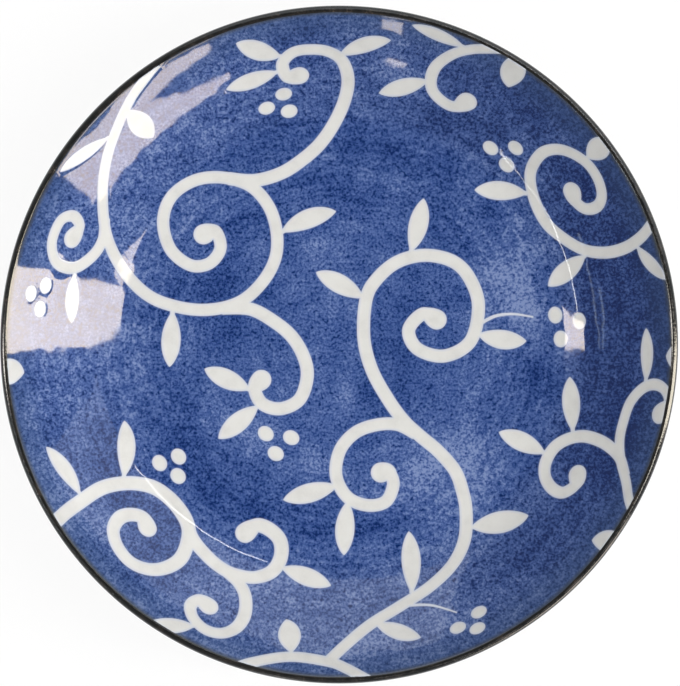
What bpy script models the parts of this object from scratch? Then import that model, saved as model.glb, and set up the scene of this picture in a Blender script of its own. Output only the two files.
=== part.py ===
"""Dessert plate: a turned porcelain dish with a brushed blue face, an iron-brown rim
and a vine scroll trailed over the face in raised white slip."""

import math

import bmesh
import bpy
from mathutils import Vector
from mathutils.geometry import delaunay_2d_cdt

# Dish sizes, in metres
RIM_DIAMETER = 0.165
HEIGHT = 0.030
LIP_THICKNESS = 0.0022
WELL_DIAMETER = 0.112
FLOOR_THICKNESS = 0.005
FLOOR_RISE = 0.0012
BEND_RADIUS = 0.020
WALL_CURVE_RADIUS = 0.100
BACK_CURVE_RADIUS = 0.100
HEEL_OVERHANG = 0.0025
HEEL_RADIUS = 0.016

# Foot ring sizes
FOOT_DIAMETER = 0.092
FOOT_WIDTH = 0.0048
FOOT_CHAMFER = 0.0006
FOOT_BARE_HEIGHT = 0.0016
UNDERSIDE_HEIGHT = 0.0062
FOOT_FILLET = 0.0025
RECESS_DEPTH = 0.0056
RECESS_FILLET = 0.002

# Glaze coats and the clearance that every layer keeps to the one below it
COAT = 0.0004
SEAT_GAP = 0.0003
RIM_BAND_INSIDE = 0.0004
RIM_BAND_OUTSIDE = 0.0022

# Slip trailing sizes, measured along the glazed face
STEM_WIDTH = 0.003
TENDRIL_WIDTH = 0.0008
CURL_DIAMETER = 0.005
LEAF_WIDTH = 0.0047
BUD_WIDTH = 0.006
NECK_WIDTH = 0.0009
LEAF_FULLNESS = 0.8
BERRY_DIAMETER = 0.0043
BERRY_GAP = 0.0013
SLIP_EDGE = 0.0002
SLIP_CROWN = 0.0005

# Facets. The first two say how far a flat may cut across the curve of the rim and of the face.
RIM_FLAT = 0.000255
FACE_FLAT = 0.00009
LIP_STEPS = 4
BACK_STEPS = 2
FILLET_STEPS = 2
STROKE_TURN = math.radians(26)
STROKE_LENGTH = 0.006
CURL_SIDES = 9
LEAF_STEPS = 5
BERRY_SIDES = 9
SHARP_EDGE = math.radians(40)
WELD = 0.00002

# The vine drawing, traced from above in picture units, x to the right and y down.
# Its radius is where the face rolls over into the lip.
# A stem is a smooth line: a curl ends in a round bead, a run passes under the rim.
# A leaf or bud goes from its base to its tip and bows sideways by the last number.
DRAWING_CENTRE = (338.6, 344.1)
DRAWING_RADIUS = 331.1
BERRY_PITCH = 23

VINES = {
    "vine_upper_left": {
        "curls": [
            [(157, 64), (143, 80), (127, 100), (114, 130), (105, 160), (102, 195), (106, 235), (122, 269),
             (147, 295), (178, 307), (210, 309), (240, 302), (263, 282), (275, 258), (276, 232), (269, 205),
             (250, 185), (222, 177), (194, 180), (171, 196), (162, 221), (170, 249), (190, 265), (209, 263),
             (221, 248), (216, 231), (203, 234)],
            [(228, 178), (254, 180), (280, 173), (301, 160), (320, 143), (335, 121), (345, 98), (348, 78),
             (342, 60), (328, 51), (310, 48.5), (293, 52), (282.5, 63), (287, 76), (299, 75)],
            [(222, 308), (250, 310), (273, 321), (292, 337), (304, 358), (307, 378), (299, 400), (280, 409),
             (262, 404), (254, 389), (262, 380)],
            [(104, 218), (103, 240), (92, 259), (72, 270), (57, 262), (52, 241), (60, 221), (73, 216),
             (79, 226), (73.5, 237)],
        ],
        "leaves": [
            ((109, 137), (57, 173), 0), ((281, 56), (236, 42), -2), ((278, 71), (226, 89), 0),
            ((339, 55), (391, 40), -2), ((281, 232), (336, 211), -3), ((172, 311), (169, 367), 0),
            ((250, 390), (204, 369), 0), ((258, 406), (218, 439), 0), ((73, 274), (71, 323), 0),
        ],
        "buds": [((125, 110), (154, 138), 0)],
    },
    "vine_centre": {
        "curls": [
            [(328, 662), (345, 646), (370, 626), (400, 607), (430, 588), (453, 565), (465, 540), (467, 512),
             (458, 474), (438, 452), (420, 436), (404, 421), (388.5, 400), (372, 370), (364, 338), (366, 300),
             (376, 280), (397, 262), (425, 255), (453, 261), (470, 278), (479, 306), (471, 341), (445, 356),
             (418, 349), (409, 330), (423, 314), (437, 320)],
            [(416, 434), (398, 425), (378, 425), (357, 432), (342, 447), (336, 466), (338, 483), (349, 499),
             (368, 506), (386, 502), (394, 485), (389, 469), (381, 472.5)],
        ],
        "runs": [[(236, 668), (252, 662), (290, 657), (328, 662), (345, 668), (368, 680)]],
        "tendrils": [
            [(480, 324), (496, 316), (514, 314), (534, 317)],
            [(408, 606), (432, 606), (457, 613)],
        ],
        "leaves": [
            ((411, 252), (424, 198), 1.5), ((364, 298), (316, 272), 1), ((478, 335), (527, 341), 0),
            ((338, 486), (283, 501), 0), ((348, 503), (344, 556), 1), ((471, 528), (530, 516), 0),
            ((412, 594), (409, 532), 1), ((375, 624), (422, 639), 0),
        ],
        "buds": [((288, 653), (286, 620), 3)],
    },
    "vine_top_right": {
        "curls": [
            [(508, 55), (488, 50), (470, 50), (453, 54), (437, 65), (430, 80), (434, 92), (446, 103),
             (457, 107), (467.5, 101)],
        ],
        "leaves": [((465, 48), (412, 25), 0), ((429, 80), (379, 92), 0)],
    },
    "vine_right": {
        "curls": [
            [(658, 213), (650, 226), (640, 238), (625, 248), (605, 252.5), (583, 249), (560, 235), (545, 220),
             (534, 196), (531, 172), (541, 154), (556, 149), (572, 153), (588, 164), (599, 180), (603, 196),
             (597, 207.5), (586, 209), (575, 201.5), (572, 191)],
        ],
        "leaves": [((529, 193), (475, 190), 1.5), ((586, 254), (549, 287), 0), ((637, 246), (665, 281), 0)],
        "buds": [((586, 158), (611, 138), 0)],
    },
    "vine_lower_right": {
        "curls": [
            [(637, 519), (630, 502), (626, 481), (621, 460), (620, 440), (624, 421), (631, 402), (643, 388.5),
             (655, 384.5), (661.5, 391), (663, 401.5), (661, 409), (655.5, 412.5)],
            [(625, 475), (620, 458), (610, 447), (598, 440), (583, 436.5), (567, 440), (554, 449), (546, 464),
             (546, 478), (553, 489), (563, 493), (573, 488), (578, 480), (578, 473)],
        ],
        "leaves": [((573, 433), (570.5, 377), 0), ((546, 453), (499, 433), 1), ((646, 382), (646, 328), 0)],
    },
    "vine_lower_left": {
        "curls": [
            [(48, 529), (64, 513), (80, 501), (100, 489), (120, 484), (140, 484.5), (157, 490), (174, 504),
             (186, 522), (188.5, 538), (181, 558), (166, 568), (148, 569.5), (130, 562), (117, 546),
             (113, 530), (119, 518.5), (130, 515), (142, 518), (147, 528)],
            [(186, 522), (192, 539), (208, 558), (224, 571), (240, 577), (256, 578.5), (272, 572),
             (280.5, 558), (280.5, 542), (272, 530), (258, 525), (246, 533)],
            [(226, 571), (239, 582), (245, 597), (245, 615), (236, 628), (221, 634), (205, 629.5), (193, 618),
             (191, 606), (199, 600.5), (208, 606)],
        ],
        "leaves": [
            ((82, 496), (46, 447), 2), ((124, 479), (124, 421), 1.5), ((281, 567), (331, 587.5), 0),
            ((197, 625), (154, 621), -2),
        ],
    },
    "leaf_left": {"buds": [((0, 372), (24, 372), 0)]},
    "leaf_top_right": {"buds": [((520, 55), (507, 88), 0)]},
    "leaf_right": {"leaves": [((688, 357), (664, 358), 0)]},
    "leaf_lower_right": {"buds": [((629, 540), (591, 541), 0)]},
}

BERRIES = {
    "berry_top": [(283.5, 93.5), (266, 107.5), (289, 110.5)],
    "berry_upper_right": [(491.5, 147.5), (516, 147.5), (507, 164.5)],
    "berry_right": [(555, 314.5), (579.5, 320), (561, 338.5)],
    "berry_middle": [(265.5, 434), (291, 438), (275.5, 454)],
    "berry_lower_left": [(178, 457), (159, 463.5), (177.5, 476.5)],
    "berry_bottom": [(479, 612.5), (458, 628), (477.5, 628.5)],
    "berry_left": [(30.5, 293.5), (46, 285.5), (40.5, 310)],
}

# Sizes that follow from the ones above
RIM_RADIUS = RIM_DIAMETER / 2
WELL_RADIUS = WELL_DIAMETER / 2
FOOT_RADIUS = FOOT_DIAMETER / 2
FOOT_INNER = FOOT_RADIUS - FOOT_WIDTH
FLOOR_HEIGHT = RECESS_DEPTH + FLOOR_THICKNESS
LIP_RADIUS = LIP_THICKNESS / 2
UNDER_COAT = COAT + SEAT_GAP
DISH_RADIUS = (WELL_RADIUS ** 2 + FLOOR_RISE ** 2) / (2 * FLOOR_RISE)


def crossing(first, first_radius, second, second_radius):
    """The point where two circles meet, to the left of the line from the first centre to the second."""
    line = second - first
    span = line.length
    along = (first_radius ** 2 - second_radius ** 2 + span ** 2) / (2 * span)
    aside = math.sqrt(first_radius ** 2 - along ** 2)
    line.normalize()
    return first + line * along + Vector((-line.y, line.x)) * aside


def heading(start, end):
    """The angle of the line from start to end."""
    return math.atan2(end.y - start.y, end.x - start.x)


def flats(radius, turn, depth):
    """How many flats an arc needs so that none cuts across it by more than depth."""
    return math.ceil(abs(turn) / (2 * math.acos(1 - depth / radius)))


# Centres of the profile's tangent arcs, as radius and height
LIP = Vector((RIM_RADIUS - LIP_RADIUS, HEIGHT - LIP_RADIUS))
DISH = Vector((0, FLOOR_HEIGHT + DISH_RADIUS))
CORNER = Vector((WELL_RADIUS, FLOOR_HEIGHT + FLOOR_RISE))
WALL = crossing(CORNER, WALL_CURVE_RADIUS, LIP, WALL_CURVE_RADIUS + LIP_RADIUS)
BEND = crossing(DISH, DISH_RADIUS - BEND_RADIUS, WALL, WALL_CURVE_RADIUS - BEND_RADIUS)
HEEL_CORNER = Vector((WELL_RADIUS + HEEL_OVERHANG, UNDERSIDE_HEIGHT))
BACK = crossing(HEEL_CORNER, BACK_CURVE_RADIUS, LIP, BACK_CURVE_RADIUS - LIP_RADIUS)
HEEL_RISE = UNDERSIDE_HEIGHT + HEEL_RADIUS - BACK.y
HEEL = Vector((BACK.x + math.sqrt((BACK_CURVE_RADIUS - HEEL_RADIUS) ** 2 - HEEL_RISE ** 2),
               UNDERSIDE_HEIGHT + HEEL_RADIUS))
FOOT = Vector((FOOT_RADIUS + FOOT_FILLET, UNDERSIDE_HEIGHT - FOOT_FILLET))
RECESS = Vector((FOOT_INNER - RECESS_FILLET, RECESS_DEPTH - RECESS_FILLET))

# Where the arcs meet
BEND_FROM = heading(DISH, BEND)
WALL_FROM = heading(WALL, BEND)
WALL_TO = heading(WALL, LIP)
LIP_FROM = WALL_TO + math.pi
LIP_TO = heading(BACK, LIP)
HEEL_FROM = heading(BACK, HEEL)
FACE_EDGE = LIP.x + LIP_RADIUS * math.cos(LIP_FROM)
DRAWING_SCALE = FACE_EDGE / DRAWING_RADIUS

# The glazed surface from the axis over the lip to the foot, as a run of arcs.
# Each has its centre, its radius, which way the clay lies, its two angles and its facets.
FACE_SKIN = [
    (DISH, DISH_RADIUS, 1, -math.pi / 2, BEND_FROM,
     flats(DISH_RADIUS, BEND_FROM + math.pi / 2, FACE_FLAT)),
    (BEND, BEND_RADIUS, 1, BEND_FROM, WALL_FROM,
     flats(BEND_RADIUS, WALL_FROM - BEND_FROM, FACE_FLAT)),
    (WALL, WALL_CURVE_RADIUS, 1, WALL_FROM, WALL_TO,
     flats(WALL_CURVE_RADIUS, WALL_TO - WALL_FROM, FACE_FLAT)),
]
BACK_SKIN = [
    (LIP, LIP_RADIUS, -1, LIP_FROM, LIP_TO, LIP_STEPS),
    (BACK, BACK_CURVE_RADIUS, -1, LIP_TO, HEEL_FROM, BACK_STEPS),
    (HEEL, HEEL_RADIUS, -1, HEEL_FROM, -math.pi / 2, FILLET_STEPS),
    (FOOT, FOOT_FILLET, 1, math.pi / 2, math.pi, FILLET_STEPS),
]
SKIN = FACE_SKIN + BACK_SKIN
TURNS = flats(RIM_RADIUS, 2 * math.pi, RIM_FLAT)


def skin_length(arcs):
    """How far it is along a run of arcs."""
    return sum(radius * abs(end - start) for _, radius, _, start, end, _ in arcs)


# Where the rim band starts and ends, as a distance run along the glazed surface
CREST = skin_length(FACE_SKIN) + LIP_RADIUS * (LIP_FROM - math.pi / 2)
BAND_START = CREST - RIM_BAND_INSIDE
BAND_END = CREST + RIM_BAND_OUTSIDE


def arc(centre, radius, start, end, steps):
    """Points on an arc in the profile plane, both ends included."""
    angles = [start + (end - start) * i / steps for i in range(steps + 1)]
    return [centre + Vector((math.cos(a), math.sin(a))) * radius for a in angles]


def skin_line(first, last, depth):
    """The stretch of glazed surface between two distances, sunk into the clay by depth."""
    line = []
    done = 0
    for piece in SKIN:
        centre, radius, side, start, end, steps = piece
        length = skin_length([piece])
        low = max(first - done, 0) / length
        high = min(last - done, length) / length
        done += length
        if high > low:
            turn = end - start
            part = arc(centre, radius + side * depth, start + turn * low, start + turn * high,
                       math.ceil(steps * (high - low)))
            joins_last = line and centre is not FOOT
            line += part[1:] if joins_last else part
    return line


def back_line(first, depth):
    """The back from a distance along the skin down to the bare foot."""
    return skin_line(first, skin_length(SKIN), depth) + [Vector((FOOT_RADIUS - depth, FOOT_BARE_HEIGHT))]


def recess_line(depth):
    """The recess from the bare foot up to the axis, sunk above the glazed surface by depth."""
    fillet = arc(RECESS, RECESS_FILLET + depth, 0, math.pi / 2, FILLET_STEPS)
    return [Vector((FOOT_INNER + depth, FOOT_BARE_HEIGHT))] + fillet + [Vector((0, RECESS_DEPTH + depth))]


def foot_line():
    """The bare end of the foot ring, from its outer glaze line to its inner one."""
    shoulder = FOOT_BARE_HEIGHT - SEAT_GAP
    return [
        Vector((FOOT_RADIUS - UNDER_COAT, shoulder)),
        Vector((FOOT_RADIUS, shoulder)),
        Vector((FOOT_RADIUS, FOOT_CHAMFER)),
        Vector((FOOT_RADIUS - FOOT_CHAMFER, 0)),
        Vector((FOOT_INNER + FOOT_CHAMFER, 0)),
        Vector((FOOT_INNER, FOOT_CHAMFER)),
        Vector((FOOT_INNER, shoulder)),
        Vector((FOOT_INNER + UNDER_COAT, shoulder)),
    ]


def face_at(radius):
    """Height and slope of the glazed face at a distance from the axis."""
    if radius < BEND.x + BEND_RADIUS * math.cos(BEND_FROM):
        centre, curve = DISH, DISH_RADIUS
    elif radius < BEND.x + BEND_RADIUS * math.cos(WALL_FROM):
        centre, curve = BEND, BEND_RADIUS
    else:
        centre, curve = WALL, WALL_CURVE_RADIUS
    slope = math.asin((radius - centre.x) / curve)
    return centre.y - curve * math.cos(slope), slope


def on_face(point, lift):
    """The place above a plan point, lifted off the glazed face by lift along its normal."""
    height, slope = face_at(point.length)
    outward = point.normalized().to_3d()
    return point.to_3d() + Vector((0, 0, height + lift * math.cos(slope))) - outward * lift * math.sin(slope)


def plan_share(point, across):
    """How much of a width that lies across on the face is left when seen from above."""
    rise = math.tan(face_at(point.length)[1]) * across.dot(point.normalized())
    return 1 / math.sqrt(1 + rise ** 2)


def plan(place):
    """A place in the drawing, as a plan point in metres."""
    return Vector((place[0] - DRAWING_CENTRE[0], DRAWING_CENTRE[1] - place[1])) * DRAWING_SCALE


def smooth(places):
    """A smooth line through drawing places, with points spaced by how tightly it turns."""
    knots = [plan(p) for p in places]
    line = []
    for i in range(len(knots) - 1):
        before, start, end = knots[max(i - 1, 0)], knots[i], knots[i + 1]
        after = knots[min(i + 2, len(knots) - 1)]
        leave = (end - before) / 2
        arrive = (after - start) / 2
        turns = leave.angle(arrive) / STROKE_TURN
        lengths = (end - start).length / STROKE_LENGTH
        count = math.ceil(max(turns, lengths))
        for k in range(count):
            t = k / count
            line.append(start * (1 + t * t * (2 * t - 3)) + end * t * t * (3 - 2 * t)
                        + leave * t * (1 - t) ** 2 - arrive * t * t * (1 - t))
    return line + [knots[-1]]


def ribbon(line, widths):
    """The outline of a stroke along a line, as wide on the face as widths says."""
    left = []
    right = []
    for i, point in enumerate(line):
        course = (line[min(i + 1, len(line) - 1)] - line[max(i - 1, 0)]).normalized()
        across = Vector((-course.y, course.x))
        half = across * widths[i] / 2 * plan_share(point, across)
        left.append(point + half)
        right.append(point - half)
    return right + left[::-1]


def disc(centre, diameter, sides):
    """The outline of a round dab on the face, narrowed where the face is steep."""
    outward = centre.normalized()
    around = Vector((-outward.y, outward.x))
    depth = outward * plan_share(centre, outward)
    angles = [2 * math.pi * i / sides for i in range(sides)]
    return [centre + (depth * math.cos(a) + around * math.sin(a)) * diameter / 2 for a in angles]


def nearest(point, start, end):
    """The place on a straight line from start to end that is nearest to a plan point."""
    course = end - start
    share = (point - start).dot(course) / course.length_squared
    return start + course * min(max(share, 0), 1)


def root(point, stems):
    """Where a shoot grows out of the nearest stem's middle line, or the point itself without a stem."""
    places = [nearest(point, a, b) for stem in stems for a, b in zip(stem, stem[1:])]
    return min(places, key=lambda place: (place - point).length, default=point)


def leaf(base, tip, bow, width, stems):
    """The midrib and outline of a pointed leaf, its neck drawn out of the nearest stem."""
    start, end = plan(base), plan(tip)
    aside = Vector((end.y - start.y, start.x - end.x)).normalized() * DRAWING_SCALE
    midrib = []
    widths = []
    for i in range(LEAF_STEPS + 1):
        t = i / LEAF_STEPS
        swell = 4 * t * (1 - t)
        midrib.append(start.lerp(end, t) + aside * bow * swell)
        widths.append(max(width * swell ** LEAF_FULLNESS, NECK_WIDTH * (1 - t)))
    midrib[0] = root(start, stems)
    outline = ribbon(midrib, widths)
    outline.pop(LEAF_STEPS)
    return midrib, outline


def vine_shapes(drawing):
    """The ridge lines and the closed outlines that make up one vine."""
    curls = [smooth(places) for places in drawing.get("curls", [])]
    stems = curls + [smooth(places) for places in drawing.get("runs", [])]
    ridges = list(stems)
    outlines = [ribbon(line, [STEM_WIDTH] * len(line)) for line in stems]
    outlines += [disc(line[-1], CURL_DIAMETER, CURL_SIDES) for line in curls]
    for places in drawing.get("tendrils", []):
        line = smooth(places)
        line[0] = root(line[0], stems)
        outlines.append(ribbon(line, [TENDRIL_WIDTH] * len(line)))
    for kind, width in (("leaves", LEAF_WIDTH), ("buds", BUD_WIDTH)):
        for base, tip, bow in drawing.get(kind, []):
            midrib, outline = leaf(base, tip, bow, width, stems)
            ridges.append(midrib[1:-1])
            outlines.append(outline)
    return ridges, outlines


def circle(radius):
    """A plan circle about the plate's axis, with four points to each facet of the dish."""
    angles = [2 * math.pi * i / (4 * TURNS) for i in range(4 * TURNS)]
    return [Vector((math.cos(a), math.sin(a))) * radius for a in angles]


def merged(ridges, outlines):
    """Plan points and triangles of the outlines joined into one, cut off below the lip."""
    points = []
    loops = []
    for outline in [circle(FACE_EDGE - SEAT_GAP)] + outlines:
        loops.append(range(len(points), len(points) + len(outline)))
        points += outline
    ribs = []
    for line in ridges:
        ribs += [(len(points) + i, len(points) + i + 1) for i in range(len(line) - 1)]
        points += line
    found = delaunay_2d_cdt(points, ribs, [list(loop) for loop in loops], 1, WELD)
    kept = [face for face, parents in zip(found[2], found[5]) if 0 in parents and len(parents) > 1]
    return found[0], kept


def rim_edges(triangles):
    """The edges that only one triangle has, each in that triangle's direction."""
    edges = {(t[i], t[i - 2]) for t in triangles for i in range(3)}
    return [edge for edge in edges if (edge[1], edge[0]) not in edges]


def slip_mesh(mesh, points, triangles):
    """A crowned layer of slip on the face over the triangles, as a closed solid."""
    border = rim_edges(triangles)
    bm = bmesh.new()
    low = {}
    high = {}
    for index in {i for triangle in triangles for i in triangle}:
        point = points[index]
        inset = min((nearest(point, points[a], points[b]) - point).length for a, b in border)
        swell = math.sqrt(min(inset / (STEM_WIDTH / 2), 1))
        thickness = SLIP_EDGE + (SLIP_CROWN - SLIP_EDGE) * swell
        low[index] = bm.verts.new(on_face(point, SEAT_GAP))
        high[index] = bm.verts.new(on_face(point, SEAT_GAP + thickness))
    for a, b, c in triangles:
        bm.faces.new((high[a], high[b], high[c]))
        bm.faces.new((low[c], low[b], low[a]))
    for a, b in border:
        bm.faces.new((low[a], low[b], high[b], high[a]))
    bmesh.ops.dissolve_degenerate(bm, dist=WELD / 2, edges=bm.edges)
    bm.to_mesh(mesh)
    bm.free()


def turned_mesh(mesh, profile, closed):
    """A profile spun about the axis; a closed profile makes a ring."""
    bm = bmesh.new()
    verts = [bm.verts.new((p.x, 0, p.y)) for p in profile]
    edges = [bm.edges.new(pair) for pair in zip(verts, verts[1:])]
    if closed:
        edges.append(bm.edges.new((verts[-1], verts[0])))
    bmesh.ops.spin(bm, geom=verts + edges, axis=(0, 0, 1), cent=(0, 0, 0), angle=2 * math.pi,
                   steps=TURNS, use_merge=True)
    bmesh.ops.remove_doubles(bm, verts=bm.verts, dist=WELD / 2)
    bm.to_mesh(mesh)
    bm.free()


def material(name, colour, roughness):
    """A plain non-metal material."""
    made = bpy.data.materials.new(name)
    made.use_nodes = True
    shader = made.node_tree.nodes["Principled BSDF"]
    shader.inputs["Base Color"].default_value = (*colour, 1)
    shader.inputs["Roughness"].default_value = roughness
    shader.inputs["Metallic"].default_value = 0
    return made


def add_node(name, mesh, coat, parent):
    """A named, smooth-shaded sub-part under the plate's empty."""
    mesh.materials.append(coat)
    mesh.shade_smooth()
    mesh.set_sharp_from_angle(angle=SHARP_EDGE)
    node = bpy.data.objects.new(name, mesh)
    node.parent = parent
    bpy.context.scene.collection.objects.link(node)


def make_body(parent):
    """The fired clay of the dish, bare at the end of its foot ring."""
    profile = back_line(0, UNDER_COAT)[:-1] + foot_line() + recess_line(UNDER_COAT)[1:]
    mesh = bpy.data.meshes.new("porcelain_body")
    turned_mesh(mesh, profile, closed=False)
    add_node("porcelain_body", mesh, material("porcelain", (0.78, 0.75, 0.70), 0.7), parent)


def make_face_glaze(parent):
    """The blue coat over floor and wall, up to the rim band."""
    top = skin_line(0, BAND_START - SEAT_GAP, 0)
    under = skin_line(0, BAND_START - SEAT_GAP, COAT)
    mesh = bpy.data.meshes.new("blue_face_glaze")
    turned_mesh(mesh, top + under[::-1], closed=False)
    add_node("blue_face_glaze", mesh, material("blue_glaze", (0.055, 0.105, 0.30), 0.15), parent)


def make_rim_glaze(parent):
    """The iron-brown band that caps the lip."""
    outer = skin_line(BAND_START, BAND_END, 0)
    inner = skin_line(BAND_START, BAND_END, COAT)
    mesh = bpy.data.meshes.new("rim_glaze")
    turned_mesh(mesh, outer + inner[::-1], closed=True)
    add_node("rim_glaze", mesh, material("iron_glaze", (0.025, 0.022, 0.022), 0.15), parent)


def make_back_glaze(parent):
    """The clear coat from the rim band down to the bare foot."""
    outer = back_line(BAND_END + SEAT_GAP, 0)
    inner = back_line(BAND_END + SEAT_GAP, COAT)
    mesh = bpy.data.meshes.new("back_glaze")
    turned_mesh(mesh, outer + inner[::-1], closed=True)
    add_node("back_glaze", mesh, material("clear_glaze", (0.70, 0.71, 0.70), 0.15), parent)


def make_recess_glaze(parent):
    """The clear coat inside the foot ring."""
    profile = recess_line(COAT)[::-1] + recess_line(0)
    mesh = bpy.data.meshes.new("foot_recess_glaze")
    turned_mesh(mesh, profile, closed=False)
    add_node("foot_recess_glaze", mesh, material("recess_glaze", (0.70, 0.71, 0.70), 0.15), parent)


def make_vines(parent, slip):
    """The trailed vines and the single leaves that the rim cuts off."""
    for name, drawing in VINES.items():
        mesh = bpy.data.meshes.new(name)
        slip_mesh(mesh, *merged(*vine_shapes(drawing)))
        add_node(name, mesh, slip, parent)


def make_berries(parent, slip):
    """Round dabs of slip in threes, set apart by their own size and gap."""
    for name, places in BERRIES.items():
        middle = sum((plan(p) for p in places), Vector((0, 0))) / len(places)
        spread = (BERRY_DIAMETER + BERRY_GAP) / (BERRY_PITCH * DRAWING_SCALE)
        for number, place in enumerate(places, start=1):
            centre = middle + (plan(place) - middle) * spread
            outline = disc(centre, BERRY_DIAMETER, BERRY_SIDES)
            fan = [(i, (i + 1) % BERRY_SIDES, BERRY_SIDES) for i in range(BERRY_SIDES)]
            mesh = bpy.data.meshes.new(f"{name}_{number}")
            slip_mesh(mesh, outline + [centre], fan)
            add_node(f"{name}_{number}", mesh, slip, parent)


def main():
    """Clear the scene and build the plate, its foot on the ground at the origin."""
    for old in list(bpy.data.objects):
        bpy.data.objects.remove(old)
    plate = bpy.data.objects.new("plate", None)
    bpy.context.scene.collection.objects.link(plate)
    make_body(plate)
    make_face_glaze(plate)
    make_rim_glaze(plate)
    make_back_glaze(plate)
    make_recess_glaze(plate)
    slip = material("white_slip", (0.74, 0.73, 0.69), 0.2)
    make_vines(plate, slip)
    make_berries(plate, slip)


main()
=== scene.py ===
"""Dessert plate: fine surfaces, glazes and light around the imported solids."""

import math

import bpy
import numpy as np
from mathutils import Matrix, Vector
from mathutils.geometry import delaunay_2d_cdt
from mathutils.kdtree import KDTree


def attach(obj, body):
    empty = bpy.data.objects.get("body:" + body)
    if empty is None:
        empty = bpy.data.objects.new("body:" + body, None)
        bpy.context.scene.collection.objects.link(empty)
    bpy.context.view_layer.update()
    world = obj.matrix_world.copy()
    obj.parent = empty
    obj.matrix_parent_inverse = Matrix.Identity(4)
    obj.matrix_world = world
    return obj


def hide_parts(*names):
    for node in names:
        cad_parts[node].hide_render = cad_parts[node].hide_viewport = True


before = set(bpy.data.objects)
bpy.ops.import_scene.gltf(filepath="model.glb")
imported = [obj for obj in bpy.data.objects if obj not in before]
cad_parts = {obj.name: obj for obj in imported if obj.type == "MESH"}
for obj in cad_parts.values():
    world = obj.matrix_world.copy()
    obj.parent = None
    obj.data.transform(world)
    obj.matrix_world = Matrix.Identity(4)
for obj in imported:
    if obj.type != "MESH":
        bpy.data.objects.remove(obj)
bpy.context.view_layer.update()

# Dish sizes, in metres, the same as the solids'
RIM_DIAMETER = 0.165
HEIGHT = 0.030
LIP_THICKNESS = 0.0022
WELL_DIAMETER = 0.112
FLOOR_THICKNESS = 0.005
FLOOR_RISE = 0.0012
BEND_RADIUS = 0.020
WALL_CURVE_RADIUS = 0.100
BACK_CURVE_RADIUS = 0.100
HEEL_OVERHANG = 0.0025
HEEL_RADIUS = 0.016
FOOT_DIAMETER = 0.092
FOOT_WIDTH = 0.0048
FOOT_ROUND = 0.0006
FOOT_BARE_HEIGHT = 0.0016
UNDERSIDE_HEIGHT = 0.0062
FOOT_FILLET = 0.0025
RECESS_DEPTH = 0.0056
RECESS_FILLET = 0.002
COAT = 0.0004
RIM_BAND_INSIDE = 0.0004
RIM_BAND_OUTSIDE = 0.0022

# Slip sizes
TENDRIL_WIDTH = 0.0009
TENDRIL_TAPER = 0.6
CURL_DIAMETER = 0.0049
CURL_SWELL = 0.0032
NECK_WIDTH = 0.0012
LEAF_WIDTHS = {"leaves": 0.0047, "slim_leaves": 0.0039, "buds": 0.0057, "cut_leaves": 0.0063}
LEAF_FULLNESS = 0.8
LEAF_SKEW = 1.09
DAB_OUT = 0.0035
DAB_AROUND = 0.0041
SLIP_DOME = 0.000005
EDGE_SHARE = 0.8
FILLET_EASE = 0.25
SLIP_FADE = 0.0024
FADED_SHARE = 0.06
SLIP_SINK = COAT / 4

# How high the slip stands, how far the glaze runs out from its edge down and up the slope, and how far
# its rounded edge goes in
FLUSH_RELIEF = (0.000006, 0.0004, 0.0004, 0.00014)
RAISED_RELIEF = (0.00006, 0.00046, 0.0022, 0.00014)
THICK_RELIEF = (0.00014, 0.00068, 0.0019, 0.0002)
RELIEFS = {"vine_upper_left": RAISED_RELIEF, "vine_centre": RAISED_RELIEF, "berry_left": THICK_RELIEF}
UNDER_DIP = 0.00002

# How far the layers run under one another, and how uneven the brush and the kiln leave their edges
FACE_TUCK = 0.0002
SLIP_TUCK = 0.0001
RIM_TUCK = 0.0001
BACK_TUCK = 0.0004
RIM_PROUD = 0.00005
RIM_ROLL_SHARE = 0.125
RIM_INNER_WOBBLE = 0.00008
RIM_OUTER_WOBBLE = 0.00025
GLAZE_END_LENGTH = 0.0006
GLAZE_END_ROUND = 0.00015
GLAZE_END_STEP = COAT / 4
FOOT_INSET = COAT / 3
GLAZE_END_WOBBLE = 0.0002
WOBBLE_WAVES = ((3, 1.0), (7, 0.8), (13, 0.6), (23, 0.5), (41, 0.35))

# How fine the meshes are
TURNS = 360
FACE_TURNS = 720
CURVE_FLAT = 0.000002
STROKE_STEP = 0.00035
LEAF_STEPS = 44
CURL_SIDES = 44
BERRY_SIDES = 44
FACE_GRID = 0.001
RING_MULTIPLE = 12
UNDERSIDE_STRIDE = 3
NEAR_POINTS = 3
RIM_STEPS = 28
RECESS_STEPS = 12
SHARP_ANGLE = math.radians(32)
WELD = 0.000002
OFFSET_SLACK = 0.00003
INSETS = (0.00008, 0.0002, 0.00045, 0.0008, 0.0012, 0.0017, 0.0022)
OUTSETS = (0.00007, 0.00014, 0.00022, 0.00032, 0.00044, 0.00056, 0.00066, 0.0008, 0.0011)
UNDERSETS = (0.0004, 0.001, 0.0016, 0.0022)
LIP_STEPS = (-0.0008, -0.0004, -0.00015, 0, 0.0001, 0.0002, 0.0003, 0.0004, 0.0005)

# The vine drawing, traced from above in picture units, x to the right and y down.
# A stem is its width and a smooth line: a curl ends in a round bead, a run passes under the rim.
# A leaf goes from its base to its tip and bows sideways by the last number.
DRAWING_CENTRE = (339.1, 344.6)
DRAWING_RADIUS = 331.1

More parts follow.
